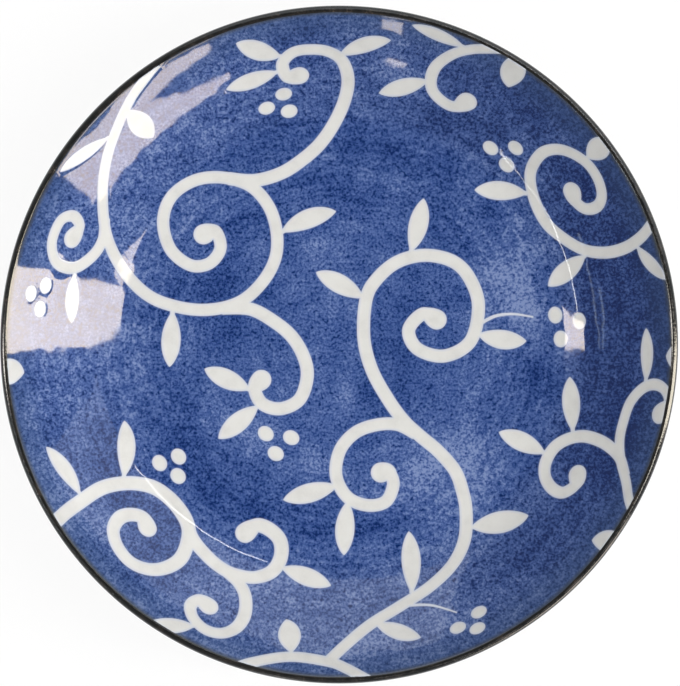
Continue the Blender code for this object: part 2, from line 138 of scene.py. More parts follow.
VINES = {
    "vine_upper_left": {
        "curls": [
            (0.0030, [(157, 64), (145, 79), (130, 100), (116, 130), (106, 160), (102, 195), (106, 235),
                      (122, 269), (147, 295), (178, 307), (210, 309.5), (240, 301.5), (262, 282), (275, 258),
                      (276.5, 232), (268.5, 206), (250, 185.5), (222, 177), (194, 180), (171, 196),
                      (162.5, 221), (170, 249), (190, 265), (209, 263), (220, 248), (215, 231), (203, 234)]),
            (0.0032, [(228, 178), (254, 180), (280, 173), (301, 160), (320, 143), (335, 121), (345, 98),
                      (348, 78), (342, 60), (328, 51), (310, 49), (293, 52), (282.5, 63), (287, 76),
                      (299, 75)]),
            (0.0032, [(222, 308), (250, 309), (273, 321), (292, 337), (304, 358), (307, 378), (299, 400),
                      (280, 409), (262, 404), (254.5, 389), (261, 380)]),
            (0.0030, [(104, 218), (102.5, 238), (92.5, 255), (74, 267.5), (56.5, 262.5), (51.5, 243),
                      (60, 221), (72.5, 216), (79, 226), (72, 238)]),
        ],
        "leaves": [
            ((278, 71), (226, 89), 0), ((339, 55), (391, 40), -3), ((281, 232), (336, 211), -3),
            ((172, 311), (169, 367), 0), ((250, 390), (204, 369), 0), ((258, 406), (218, 439), 0),
        ],
        "slim_leaves": [((109, 137), (60, 172), 1), ((74, 274), (71, 323), 1)],
        "buds": [((281, 56), (236, 43), -1), ((127, 110), (153, 137), 0)],
    },
    "vine_centre": {
        "curls": [
            (0.0032, [(328, 662), (345, 646), (370, 625.5), (400, 607), (430, 587.5), (453, 565), (465, 540),
                      (466.5, 512), (463, 492), (455.5, 471.5), (439, 452), (420, 436), (404, 421),
                      (388.5, 400), (372, 370), (364, 338), (366, 300), (376, 280), (397, 262), (425, 255),
                      (453, 261), (470, 278), (479, 306), (471, 341), (445, 356), (418, 349), (409, 330),
                      (423, 314), (437, 319.5)]),
            (0.0031, [(416, 434), (398, 425), (378, 425), (357, 432), (342, 447), (336, 466), (338, 483),
                      (349, 499), (368, 506), (386, 502), (393.5, 485), (389, 473), (381, 473)]),
        ],
        "runs": [(0.0033, [(236, 668), (252, 662.5), (290, 657), (328, 662), (345, 668), (368, 680)])],
        "tendrils": [
            [(480, 324), (496, 316), (514, 314), (534, 317)],
            [(408, 606), (432, 606), (457, 613)],
        ],
        "leaves": [
            ((411, 252), (424, 198), 1), ((364, 298), (316, 272), 1), ((478, 334), (527, 341), 2),
            ((338, 486), (283, 500.5), 0), ((348, 501), (344, 556), 1), ((412, 594), (409, 532), 1),
            ((375, 624), (421, 638), 1),
        ],
        "buds": [((471, 528), (529, 516), 1), ((291, 653), (286, 620), 1)],
    },
    "vine_top_right": {
        "curls": [
            (0.0030, [(508, 49.5), (489, 49), (471, 49.5), (453, 54), (437, 65), (431, 79), (434, 92),
                      (446, 103), (457, 106), (467.5, 101)]),
        ],
        "leaves": [((429, 80), (379, 92.5), 0)],
        "slim_leaves": [((465, 47.5), (412, 25), 1)],
    },
    "vine_right": {
        "curls": [
            (0.0030, [(658, 213), (650, 226), (640, 238), (625, 248), (605, 252.5), (583, 249), (560, 235),
                      (545, 220), (534, 196), (531, 172), (541, 154), (556, 149), (572, 153), (588, 164),
                      (598.5, 180), (602, 196), (597, 206.5), (586, 208.5), (576.5, 201.5), (572.5, 191.5)]),
        ],
        "leaves": [((528, 193), (475, 189.5), 1), ((586, 255), (549, 286), 0)],
        "slim_leaves": [((637, 246), (666, 280), 1)],
        "buds": [((587, 158), (609, 140), 0)],
    },
    "vine_lower_right": {
        "curls": [
            (0.0029, [(637, 519), (629.5, 502), (626, 481), (621, 460), (620, 440), (624, 421), (631, 402),
                      (643, 388.5), (655, 384.5), (664.5, 390), (668, 402), (659.5, 414)]),
            (0.0031, [(625, 475), (620, 458), (610, 447), (598, 440), (583, 436.5), (567, 440), (554, 449),
                      (546, 464), (546, 478), (553, 489), (563, 493), (573, 488), (577.5, 481), (578, 475)]),
        ],
        "leaves": [((573.5, 432), (570.5, 377), 0), ((546, 454), (499.5, 432.5), 1)],
        "slim_leaves": [((646, 382), (646.5, 328), 1)],
    },
    "vine_lower_left": {
        "curls": [
            (0.0036, [(48, 530), (64, 514), (80, 502), (100, 489), (120, 484), (140, 484.5), (157, 490),
                      (174, 504), (186, 522), (188, 538), (181, 558), (166, 568), (148, 569.5), (130, 562),
                      (117, 546), (113, 530), (119, 518.5), (130, 515), (142, 518), (147, 528)]),
            (0.0035, [(186, 522), (192, 539), (208, 558), (224, 570.5), (240, 576.5), (256, 578), (272, 572),
                      (280.5, 558), (280, 542), (270.5, 531), (257, 526), (245, 533.5)]),
            (0.0033, [(226, 572), (238, 583), (245, 597), (244.5, 615), (236, 628), (221, 633.5),
                      (205, 629.5), (193, 618), (190.5, 606), (199, 600.5), (208.5, 606.5)]),
        ],
        "leaves": [
            ((80, 495), (46, 447), 2), ((123, 478), (123.5, 421), 2.5), ((281, 568), (331, 586.5), 0),
            ((195, 626), (150, 621.5), -2),
        ],
    },
    "leaf_left": {"cut_leaves": [((-6, 374), (24, 373), -2)]},
    "leaf_top_right": {"cut_leaves": [((520, 54), (508.5, 87), 1)]},
    "leaf_right": {"cut_leaves": [((688, 357.5), (666, 356), 0)]},
    "leaf_lower_right": {"cut_leaves": [((629, 543), (592, 540.5), 0)]},
}

BERRIES = {
    "berry_top": [(283.5, 93.5), (266.5, 107.5), (289, 110.5)],
    "berry_upper_right": [(491, 147.5), (516, 147.5), (507, 164.5)],
    "berry_right": [(556, 315), (580, 321), (561.5, 339)],
    "berry_middle": [(265.5, 434), (291, 438), (275.5, 454)],
    "berry_lower_left": [(178, 457), (159, 463.5), (177.5, 476.5)],
    "berry_bottom": [(479, 612.5), (458, 628), (477.5, 628.5)],
    "berry_left": [(30.5, 293.5), (45, 285.5), (39.5, 309)],
}

# Broad marks in the blue: brush marks, and out on the walls painted shade and light, deeper on the right and
# upper right walls and paler on the lower left and bottom walls. Each gives where round the dish, half its
# sweep, how far out, half its breadth, in degrees and picture units, and how much paler (+) or deeper (-)
# the colour is there
BRUSH_AND_SHADE_MARKS = [
    (232, 36, 190, 24, -0.85), (282, 14, 192, 12, -0.4), (75, 27, 197, 13, -0.6), (104, 9, 228, 20, -0.5),
    (172, 24, 128, 28, -0.6), (8, 22, 94, 24, -0.4), (322, 36, 66, 20, -0.55), (342, 14, 200, 20, -0.8),
    (97, 5, 312, 24, -0.5), (58, 14, 298, 30, -0.7), (19, 15, 185, 38, 1.1), (311, 20, 158, 30, 0.85),
    (248, 28, 120, 26, 0.5), (118, 22, 92, 22, 0.3), (106, 40, 152, 26, -0.55), (186, 8, 268, 34, 0.3),
    (209, 9, 312, 16, 0.7), (248, 16, 254, 26, 0.5), (278, 24, 300, 24, 0.6), (137, 24, 262, 30, 0.35),
    (84, 12, 284, 26, 0.15), (8, 40, 290, 55, -1.2), (320, 22, 290, 45, -0.5), (338, 32, 148, 16, 0.45),
    (180, 8, 206, 20, 0.65), (216, 20, 252, 34, -0.5), (306, 12, 210, 18, 0.6), (46, 11, 148, 20, -0.9),
    (63, 14, 252, 20, -0.85), (270, 7, 165, 14, -0.6),
]


# Profile of the dish, as radius and height

RIM_RADIUS = RIM_DIAMETER / 2
WELL_RADIUS = WELL_DIAMETER / 2
FOOT_RADIUS = FOOT_DIAMETER / 2
FOOT_INNER = FOOT_RADIUS - FOOT_WIDTH
FLOOR_HEIGHT = RECESS_DEPTH + FLOOR_THICKNESS
LIP_RADIUS = LIP_THICKNESS / 2
DISH_RADIUS = (WELL_RADIUS ** 2 + FLOOR_RISE ** 2) / (2 * FLOOR_RISE)


def crossing(first, first_radius, second, second_radius):
    """The point where two circles meet, to the left of the line from the first centre to the second."""
    line = second - first
    span = line.length
    along = (first_radius ** 2 - second_radius ** 2 + span ** 2) / (2 * span)
    aside = math.sqrt(first_radius ** 2 - along ** 2)
    line.normalize()
    return first + line * along + Vector((-line.y, line.x)) * aside


def heading(start, end):
    """The angle of the line from start to end."""
    return math.atan2(end.y - start.y, end.x - start.x)


LIP = Vector((RIM_RADIUS - LIP_RADIUS, HEIGHT - LIP_RADIUS))
DISH = Vector((0, FLOOR_HEIGHT + DISH_RADIUS))
CORNER = Vector((WELL_RADIUS, FLOOR_HEIGHT + FLOOR_RISE))
WALL = crossing(CORNER, WALL_CURVE_RADIUS, LIP, WALL_CURVE_RADIUS + LIP_RADIUS)
BEND = crossing(DISH, DISH_RADIUS - BEND_RADIUS, WALL, WALL_CURVE_RADIUS - BEND_RADIUS)
HEEL_CORNER = Vector((WELL_RADIUS + HEEL_OVERHANG, UNDERSIDE_HEIGHT))
BACK = crossing(HEEL_CORNER, BACK_CURVE_RADIUS, LIP, BACK_CURVE_RADIUS - LIP_RADIUS)
HEEL_RISE = UNDERSIDE_HEIGHT + HEEL_RADIUS - BACK.y
HEEL = Vector((BACK.x + math.sqrt((BACK_CURVE_RADIUS - HEEL_RADIUS) ** 2 - HEEL_RISE ** 2),
               UNDERSIDE_HEIGHT + HEEL_RADIUS))
FOOT = Vector((FOOT_RADIUS + FOOT_FILLET, UNDERSIDE_HEIGHT - FOOT_FILLET))
RECESS = Vector((FOOT_INNER - RECESS_FILLET, RECESS_DEPTH - RECESS_FILLET))
BEND_FROM = heading(DISH, BEND)
WALL_FROM = heading(WALL, BEND)
WALL_TO = heading(WALL, LIP)
LIP_FROM = WALL_TO + math.pi
LIP_TO = heading(BACK, LIP)
HEEL_FROM = heading(BACK, HEEL)
FACE_EDGE = LIP.x + LIP_RADIUS * math.cos(LIP_FROM)
DRAWING_SCALE = FACE_EDGE / DRAWING_RADIUS

# The glazed surface as arcs: centre, radius, which way the clay lies, and the two angles
SKIN = [
    (DISH, DISH_RADIUS, 1, -math.pi / 2, BEND_FROM),
    (BEND, BEND_RADIUS, 1, BEND_FROM, WALL_FROM),
    (WALL, WALL_CURVE_RADIUS, 1, WALL_FROM, WALL_TO),
    (LIP, LIP_RADIUS, -1, LIP_FROM, LIP_TO),
    (BACK, BACK_CURVE_RADIUS, -1, LIP_TO, HEEL_FROM),
    (HEEL, HEEL_RADIUS, -1, HEEL_FROM, -math.pi / 2),
    (FOOT, FOOT_FILLET, 1, math.pi / 2, math.pi),
]
LENGTHS = [radius * abs(end - start) for _, radius, _, start, end in SKIN]
SKIN_LENGTH = sum(LENGTHS)
LIP_START = sum(LENGTHS[:3])
CREST = LIP_START + LIP_RADIUS * (LIP_FROM - math.pi / 2)
BAND_START = CREST - RIM_BAND_INSIDE
BAND_END = CREST + RIM_BAND_OUTSIDE


def arc(centre, radius, start, end):
    """Points on an arc in the profile plane, both ends included, as fine as the meshes are."""
    steps = max(1, math.ceil(abs(end - start) / (2 * math.acos(1 - min(CURVE_FLAT / radius, 1)))))
    angles = [start + (end - start) * i / steps for i in range(steps + 1)]
    return [(centre.x + math.cos(a) * radius, centre.y + math.sin(a) * radius) for a in angles]


def skin_line(first, last, depth):
    """The stretch of glazed surface between two distances, sunk into the clay by depth."""
    line = []
    done = 0
    for (centre, radius, side, start, end), length in zip(SKIN, LENGTHS):
        low = max(first - done, 0) / length
        high = min(last - done, length) / length
        done += length
        if high > low:
            turn = end - start
            part = arc(centre, radius + side * depth, start + turn * low, start + turn * high)
            joins_last = line and centre is not FOOT
            line += part[1:] if joins_last else part
    return line


def skin_point(distance, depth):
    """One place on the glazed surface at a distance from the axis."""
    return skin_line(distance, distance + WELD, depth)[0]


FACE_END = skin_point(BAND_START + FACE_TUCK, 0)[0]
SLIP_END = skin_point(BAND_START + SLIP_TUCK, 0)[0]


def face_at(radius):
    """Height and slope of the glazed face at a distance from the axis."""
    if radius > FACE_EDGE:
        slope = math.asin(min(max((LIP.x - radius) / LIP_RADIUS, -1), 1))
        return LIP.y + LIP_RADIUS * math.cos(slope), slope
    for centre, curve, _, _, end in SKIN[:3]:
        if radius < centre.x + curve * math.cos(end):
            break
    slope = math.asin((radius - centre.x) / curve)
    return centre.y - curve * math.cos(slope), slope


def on_face(point, lift):
    """The place above a plan point, lifted off the glazed face by lift along its normal."""
    radius = point.length
    height, slope = face_at(radius)
    share = 1 - lift * math.sin(slope) / radius if radius > 0 else 1
    return (point.x * share, point.y * share, height + lift * math.cos(slope))


# The drawing turned into outlines on the face

def plan(place):
    """A place in the drawing, as a plan point in metres."""
    return Vector((place[0] - DRAWING_CENTRE[0], DRAWING_CENTRE[1] - place[1])) * DRAWING_SCALE


def plan_share(point, across):
    """How much of a width that lies across on the face is left when seen from above."""
    if point.length > FACE_EDGE:
        point = point.normalized() * FACE_EDGE
    rise = math.tan(face_at(point.length)[1]) * across.dot(point.normalized())
    return 1 / math.sqrt(1 + rise ** 2)


def smooth(places):
    """A smooth, finely stepped line through drawing places."""
    knots = [plan(p) for p in places]
    line = []
    for i in range(len(knots) - 1):
        before, start, end = knots[max(i - 1, 0)], knots[i], knots[i + 1]
        after = knots[min(i + 2, len(knots) - 1)]
        leave = (end - before) / 2
        arrive = (after - start) / 2
        count = math.ceil((end - start).length / STROKE_STEP)
        for k in range(count):
            t = k / count
            line.append(start * (1 + t * t * (2 * t - 3)) + end * t * t * (3 - 2 * t)
                        + leave * t * (1 - t) ** 2 - arrive * t * t * (1 - t))
    return line + [knots[-1]]


def ribbon(line, widths):
    """The outline of a stroke along a line, as wide on the face as widths says."""
    left = []
    right = []
    for i, point in enumerate(line):
        course = (line[min(i + 1, len(line) - 1)] - line[max(i - 1, 0)]).normalized()
        across = Vector((-course.y, course.x))
        half = across * widths[i] / 2 * plan_share(point, across)
        left.append(point + half)
        right.append(point - half)
    return right + left[::-1]


def disc(centre, out, around, sides):
    """The outline of a round dab on the face, narrowed where the face is steep."""
    outward = centre.normalized()
    aside = Vector((-outward.y, outward.x)) * around / 2
    depth = outward * plan_share(centre, outward) * out / 2
    angles = [2 * math.pi * i / sides for i in range(sides)]
    return [centre + depth * math.cos(a) + aside * math.sin(a) for a in angles]


def curl_end(line, width):
    """Dabs along the end of a curl, growing from the stem's width to the round bulb."""
    dabs = []
    left = 0
    for point, after in zip(line[::-1], [line[-1]] + line[::-1]):
        left += (after - point).length
        if left > CURL_SWELL:
            break
        share = 1 - left / CURL_SWELL
        diameter = width + (CURL_DIAMETER - width) * share * share * (3 - 2 * share)
        dabs.append(disc(point, diameter, diameter, CURL_SIDES))
    return dabs


def nearest(point, start, end):
    """The place on a straight line from start to end that is nearest to a plan point."""
    course = end - start
    share = (point - start).dot(course) / course.length_squared
    return start + course * min(max(share, 0), 1)


def leaf(base, tip, bow, width):
    """The outline of a pointed leaf."""
    start, end = plan(base), plan(tip)
    aside = Vector((end.y - start.y, start.x - end.x)).normalized() * DRAWING_SCALE
    midrib = []
    widths = []
    for i in range(LEAF_STEPS + 1):
        t = i / LEAF_STEPS
        skewed = t ** LEAF_SKEW
        midrib.append(start.lerp(end, t) + aside * bow * 4 * t * (1 - t))
        widths.append(max(width * (4 * skewed * (1 - skewed)) ** LEAF_FULLNESS, NECK_WIDTH * (1 - t)))
    outline = ribbon(midrib, widths)
    outline.pop(LEAF_STEPS)
    return outline


def neck(point, stems, width):
    """A short stroke that joins a shoot to the middle line of the nearest stem."""
    places = [nearest(point, a, b) for stem in stems for a, b in zip(stem, stem[1:])]
    root = min(places, key=lambda place: (place - point).length)
    return [ribbon([root, point], [width, width])] if (root - point).length > WELD * 10 else []


def vine_outlines(drawing):
    """The closed outlines that make up one vine."""
    outlines = []
    stems = []
    for kind in ("curls", "runs"):
        for width, places in drawing.get(kind, []):
            line = smooth(places)
            stems.append(line)
            outlines.append(ribbon(line, [width] * len(line)))
            outlines += curl_end(line, width) if kind == "curls" else []
    for places in drawing.get("tendrils", []):
        line = smooth(places)
        widths = [TENDRIL_WIDTH * (1 - TENDRIL_TAPER * i / len(line)) for i in range(len(line))]
        outlines.append(ribbon(line, widths))
        outlines += neck(line[0], stems, TENDRIL_WIDTH)
    for kind, width in LEAF_WIDTHS.items():
        for base, tip, bow in drawing.get(kind, []):
            outlines.append(leaf(base, tip, bow, width))
            outlines += neck(plan(base), stems, NECK_WIDTH) if stems else []
    return outlines


def circle(radius, sides):
    """A plan circle about the plate's axis."""
    angles = [2 * math.pi * i / sides for i in range(sides)]
    return [Vector((math.cos(a), math.sin(a))) * radius for a in angles]


def numbering(groups):
    """The points that the groups use, and the number that each has without the others."""
    used = sorted({i for group in groups for i in group})
    return used, {old: new for new, old in enumerate(used)}


def union_border(outlines):
    """The joined outline of many shapes, cut off at the rim band, as points and directed edges."""
    points = []
    loops = []
    for outline in [circle(SLIP_END, 2 * FACE_TURNS)] + outlines:
        loops.append(list(range(len(points), len(points) + len(outline))))
        points += outline
    found = delaunay_2d_cdt(points, [], loops, 1, WELD)
    kept = [face for face, parents in zip(found[2], found[5]) if 0 in parents and len(parents) > 1]
    edges = {(t[i], t[i - 2]) for t in kept for i in range(3)}
    border = sorted(edge for edge in edges if (edge[1], edge[0]) not in edges)
    used, number = numbering(border)
    return [found[0][i] for i in used], [(number[a], number[b]) for a, b in border]


# Distances to the slip's outline

class Border:
    """An outline that can be asked how far away a plan point is, and on which side."""

    def __init__(self, points, edges):
        self.points = points
        self.edges = edges
        self.at = {}
        for edge in edges:
            for i in edge:
                self.at.setdefault(i, []).append(edge)
        self.tree = KDTree(len(points))
        for i, point in enumerate(points):
            self.tree.insert(point.to_3d(), i)
        self.tree.balance()

    def outward(self, index):
        """The direction that points away from the slip at one of the outline's points."""
        total = Vector((0, 0))
        for a, b in self.at[index]:
            course = (self.points[b] - self.points[a]).normalized()
            total += Vector((course.y, -course.x))
        return total.normalized()

    def measure(self, point):
        """How far a plan point is from the outline, below zero inside the slip, and the way out there."""
        best = None
        for _, index, _ in self.tree.find_n(point.to_3d(), NEAR_POINTS):
            for a, b in self.at[index]:
                place = nearest(point, self.points[a], self.points[b])
                gap = (point - place).length
                if best is None or gap < best[0]:
                    best = (gap, place, a, b)
        gap, place, a, b = best
        if place == self.points[a] or place == self.points[b]:
            side = self.outward(a if place == self.points[a] else b)
        else:
            course = (self.points[b] - self.points[a]).normalized()
            side = Vector((course.y, -course.x))
        return (gap if (point - place).dot(side) >= 0 else -gap), side

    def distance(self, point):
        """How far a plan point is from the outline: above zero outside the slip, below zero inside."""
        return self.measure(point)[0]


def offset_points(border, offsets):
    """Points beside the outline at the offsets, without those that another stretch comes closer to."""
    found = []
    taken = set()
    cell = STROKE_STEP / 2
    for offset in offsets:
        for index, point in enumerate(border.points):
            place = point + border.outward(index) * offset
            key = (round(place.x / cell), round(place.y / cell))
            if key in taken or abs(border.distance(place) - offset) > OFFSET_SLACK:
                continue
            taken.add(key)
            found.append(place)
    return found


def slip_rise(gap, radius, relief, downhill=0):
    """How high the glazed slip stands off the face, from the distance to its outline.

    Outside the outline it also matters how far the way out from the slip points down the slope.
    """
    height, down, up, roll = relief
    spread = up + (down - up) * min(max(downhill, 0), 1)
    fade = min(max((SLIP_END - radius) / SLIP_FADE, 0), 1)
    height *= FADED_SHARE + (1 - FADED_SHARE) * fade * (2 - fade)
    edge = height * EDGE_SHARE
    if gap >= 0:
        along = min(max(1 - gap / spread, 0), 1)
        return edge * eased(along)
    along = min(-gap / roll, 1)
    return edge + (height - edge) * along * (2 - along) + SLIP_DOME * min(-gap / INSETS[-1], 1)


def eased(along):
    """A climb from 0 to 1 that starts softly and goes on straight."""
    if along < FILLET_EASE:
        climbed = along ** 2 / (2 * FILLET_EASE)
    else:
        climbed = along - FILLET_EASE / 2
    return climbed / (1 - FILLET_EASE / 2)


# Meshes

def add_piece(name, vertices, faces, material, node):
    """A smooth piece of the plate that stands for a node of the solids."""
    mesh = bpy.data.meshes.new(name)
    mesh.from_pydata(vertices, [], faces)
    mesh.update()
    mesh.shade_smooth()
    mesh.set_sharp_from_angle(angle=SHARP_ANGLE)
    mesh.materials.append(material)
    piece = bpy.data.objects.new(name, mesh)
    bpy.context.scene.collection.objects.link(piece)
    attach(piece, "root")
    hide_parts(node)
    return piece


def add_values(piece, name, values):
    """Numbers at the points of a piece that its material reads."""
    piece.data.attributes.new(name, "FLOAT", "POINT").data.foreach_set("value", values)


def inside_triangles(triangles, border):
    """The triangles that the directed border goes round."""
    owner = {(t[i], t[i - 2]): k for k, t in enumerate(triangles) for i in range(3)}
    walls = set(border)
    waiting = [owner[edge] for edge in border if edge in owner]
    kept = set(waiting)
    while waiting:
        t = triangles[waiting.pop()]
        for i in range(3):
            edge = (t[i], t[i - 2])
            beyond = owner.get((edge[1], edge[0]))
            if edge not in walls and beyond is not None and beyond not in kept:
                kept.add(beyond)
                waiting.append(beyond)
    return [triangles[k] for k in sorted(kept)]


def triangulated(points, edges):
    """Plan points joined by triangles that keep the edges, and the new number of every point."""
    found = delaunay_2d_cdt(points, edges, [], 0, 0)
    return found[0], found[2], {old: new for new, olds in enumerate(found[3]) for old in olds}


def slip_piece(name, outlines, relief, material):
    """A bead of slip with rounded edges on the face; returns its outline."""
    border = Border(*union_border(outlines))
    insides = offset_points(border, [-d for d in INSETS])
    points, triangles, place = triangulated(border.points + insides, border.edges)
    edges = [(place[a], place[b]) for a, b in border.edges]
    triangles = inside_triangles(triangles, edges)
    used, number = numbering(triangles)
    on_edge = {i for edge in edges for i in edge}
    vertices = []
    depths = []
    for i in used:
        point = points[i]
        gap = 0 if i in on_edge else -abs(border.distance(point))
        vertices.append(on_face(point, slip_rise(gap, point.length, relief)))
        depths.append(-gap)
    count = len(used)
    vertices += [on_face(points[i], -SLIP_SINK) for i in used]
    faces = [[number[i] for i in t] for t in triangles]
    faces += [[number[i] + count for i in reversed(t)] for t in triangles]
    faces += [[number[b], number[a], number[a] + count, number[b] + count] for a, b in edges]
    piece = add_piece("slip_" + name, vertices, faces, material, name)
    add_values(piece, "depth", depths + [0] * count)
    return border


def brush_and_shade_tone(point):
    """How pale the broad brush marks, and the painted shade and light on the walls among them, make the blue
    at a plan point.
    """
    radius = point.length / DRAWING_SCALE
    turn = math.degrees(math.atan2(point.y, point.x))
    tone = 0
    for middle, sweep, out, breadth, strength in BRUSH_AND_SHADE_MARKS:
        aside = (turn - middle + 180) % 360 - 180
        tone += strength * math.exp(-(aside / sweep) ** 4 - ((radius - out) / breadth) ** 2)
    return tone


def joined(borders):
    """Many outlines as one."""
    points = []
    edges = []
    for border in borders:
        edges += [(a + len(points), b + len(points)) for a, b in border.edges]
        points += border.points
    return Border(points, edges)


def face_grid(whole):
    """Points of the face away from the slip, in rings that grow dense towards the lip."""
    grid = [Vector((0, 0))]
    rings = round(FACE_END / FACE_GRID)
    for ring in range(1, rings):
        radius = FACE_END * ring / rings
        sides = math.ceil(2 * math.pi * radius / FACE_GRID / RING_MULTIPLE) * RING_MULTIPLE
        grid += circle(radius, sides)
    inner = skin_point(LIP_START + LIP_STEPS[0], 0)[0] - FACE_GRID / 2
    grid = [p for p in grid if p.length < inner]
    for step in LIP_STEPS:
        grid += circle(skin_point(LIP_START + step, 0)[0], FACE_TURNS)
    return [p for p in grid if whole.distance(p) > OUTSETS[-1] + FACE_GRID / 4]


def face_lift(point, gap, reliefs):
    """How far the glaze is drawn up at a plan point by the slip beside it."""
    if gap < 0:
        return -UNDER_DIP
    lift = 0
    for border, relief in reliefs:
        near, side = border.measure(point)
        downhill = -side.dot(point.normalized())
        lift = max(lift, slip_rise(max(near, 0), point.length, relief, downhill))
    return lift


def face_piece(borders, material):
    """The blue face, drawn up in a fillet to the slip all round it; borders are listed by their relief."""
    whole = joined(sum(borders.values(), []))
    reliefs = [(joined(group), relief) for relief, group in borders.items()]
    points = circle(FACE_END, FACE_TURNS) + whole.points
    edges = [(a + FACE_TURNS, b + FACE_TURNS) for a, b in whole.edges]
    on_edge = range(FACE_TURNS, len(points))
    points += [p for p in offset_points(whole, OUTSETS) if p.length < FACE_END - STROKE_STEP]
    points += face_grid(whole) + offset_points(whole, [-d for d in UNDERSETS])
    points, triangles, place = triangulated(points, edges)
    edge_places = {place[i] for i in on_edge}
    distances = [0 if i in edge_places else whole.distance(p) for i, p in enumerate(points)]
    vertices = [on_face(p, face_lift(p, gap, reliefs)) for p, gap in zip(points, distances)]
    faces = [list(t) for t in triangles]
    last = [place[i] for i in range(FACE_TURNS)]
    under = skin_line(0, BAND_START + FACE_TUCK, COAT)[::-1]
    for radius, height in under[:-1:UNDERSIDE_STRIDE]:
        row = list(range(len(vertices), len(vertices) + FACE_TURNS))
        vertices += [(p.x, p.y, height) for p in circle(radius, FACE_TURNS)]
        faces += [[last[j - 1], row[j - 1], row[j], last[j]] for j in range(FACE_TURNS)]
        last = row
    vertices.append((0, 0, under[-1][1]))
    faces += [[last[j - 1], len(vertices) - 1, last[j]] for j in range(FACE_TURNS)]
    piece = add_piece("painted_face", vertices, faces, material, "blue_face_glaze")
    rest = [0] * (len(vertices) - len(points))
    add_values(piece, "gap", [max(gap, 0) for gap in distances] + rest)
    # The tone holds the brush marks and the painted shade and light on the walls
    add_values(piece, "tone", [brush_and_shade_tone(p) for p in points] + rest)


def turned_grid(profile):
    """A profile repeated for every turn, ready to be made uneven."""
    return np.repeat(np.array(profile, float)[:, None, :], TURNS, axis=1)


def wobble(size, phase):
    """A gentle unevenness round the plate, of about the size given."""
    turn = np.linspace(0, 2 * math.pi, TURNS, endpoint=False)
    return size / 1.5 * sum(share * np.sin(n * turn + phase * n * n) for n, share in WOBBLE_WAVES)


def turned_piece(name, grid, closed, material, node):
    """A profile turned about the axis; a closed profile makes a ring."""
    vertices = []
    rows = []
    turn = np.linspace(0, 2 * math.pi, TURNS, endpoint=False)
    for row in grid:
        if row[:, 0].max() < WELD:
            rows.append([len(vertices)] * TURNS)
            vertices.append((0, 0, row[0, 1]))
        else:
            rows.append(list(range(len(vertices), len(vertices) + TURNS)))
            vertices += list(zip(row[:, 0] * np.cos(turn), row[:, 0] * np.sin(turn), row[:, 1]))
    if closed:
        rows.append(rows[0])
    faces = []
    for first, second in zip(rows, rows[1:]):
        for j in range(TURNS):
            ring = (first[j - 1], second[j - 1], second[j], first[j])
            faces.append(list(dict.fromkeys(ring)))
    return add_piece(name, vertices, faces, material, node)


def foot_line(depth):
    """The bare end of the foot ring with rounded edges, set in from the glaze by depth."""
    outer = FOOT_RADIUS - depth
    inner = FOOT_INNER + depth
    outside = arc(Vector((outer - FOOT_ROUND, FOOT_ROUND)), FOOT_ROUND, 0, -math.pi / 2)
    inside = arc(Vector((inner + FOOT_ROUND, FOOT_ROUND)), FOOT_ROUND, -math.pi / 2, -math.pi)
    return outside + inside


def recess_line(depth):
    """The recess inside the foot from its wall to the axis, sunk above the glaze by depth."""
    flat = [(RECESS.x * i / RECESS_STEPS, RECESS_DEPTH + depth) for i in reversed(range(RECESS_STEPS))]
    return arc(RECESS, RECESS_FILLET + depth, 0, math.pi / 2) + flat


def glaze_end(radius, inward):
    """The glaze's end on the foot, from above down and then into the clay, which lies inward or outward."""
    return [(radius, FOOT_BARE_HEIGHT + GLAZE_END_LENGTH), (radius, FOOT_BARE_HEIGHT + GLAZE_END_ROUND),
            (radius - inward * GLAZE_END_STEP, FOOT_BARE_HEIGHT), (radius - inward * COAT, FOOT_BARE_HEIGHT)]


def make_body(material):
    """The clay, which shows at the bare foot."""
    profile = skin_line(0, SKIN_LENGTH, COAT) + foot_line(FOOT_INSET) + recess_line(COAT)
    turned_piece("clay_body", turned_grid(profile), False, material, "porcelain_body")


def make_rim(material):
    """The iron band over the lip, its edges a little uneven as a brush leaves them."""
    starts = BAND_START - RIM_TUCK + wobble(RIM_INNER_WOBBLE, 1.3)
    ends = BAND_END + wobble(RIM_OUTER_WOBBLE, 2.1)
    outer = np.zeros((RIM_STEPS + 1, TURNS, 2))
    inner = np.zeros((RIM_STEPS + 1, TURNS, 2))
    for k in range(RIM_STEPS + 1):
        share = k / RIM_STEPS
        lift = RIM_PROUD * min(1, share / RIM_ROLL_SHARE, (1 - share) / RIM_ROLL_SHARE)
        for j in range(TURNS):
            distance = starts[j] + (ends[j] - starts[j]) * share
            outer[k, j] = skin_point(distance, -lift)
            inner[k, j] = skin_point(distance, COAT)
    grid = np.concatenate([outer, inner[::-1]])
    turned_piece("iron_rim", grid, True, material, "rim_glaze")


def make_back(material):
    """The clear glaze down the back, ending in a wavy line on the foot."""
    outer = skin_line(BAND_END - BACK_TUCK, SKIN_LENGTH, 0) + glaze_end(FOOT_RADIUS, 1)
    inner = skin_line(BAND_END - BACK_TUCK, SKIN_LENGTH, COAT)[::-1]
    grid = turned_grid(outer + inner)
    grid[len(outer) - 3:len(outer), :, 1] += wobble(GLAZE_END_WOBBLE, 0.7)
    turned_piece("glazed_back", grid, True, material, "back_glaze")


def make_recess(material):
    """The clear glaze inside the foot ring."""
    upper = recess_line(COAT)[::-1]
    grid = turned_grid(upper + glaze_end(FOOT_INNER, -1)[::-1] + recess_line(0))
    grid[len(upper):len(upper) + 3, :, 1] += wobble(GLAZE_END_WOBBLE, 1.9)
    turned_piece("glazed_recess", grid, False, material, "foot_recess_glaze")
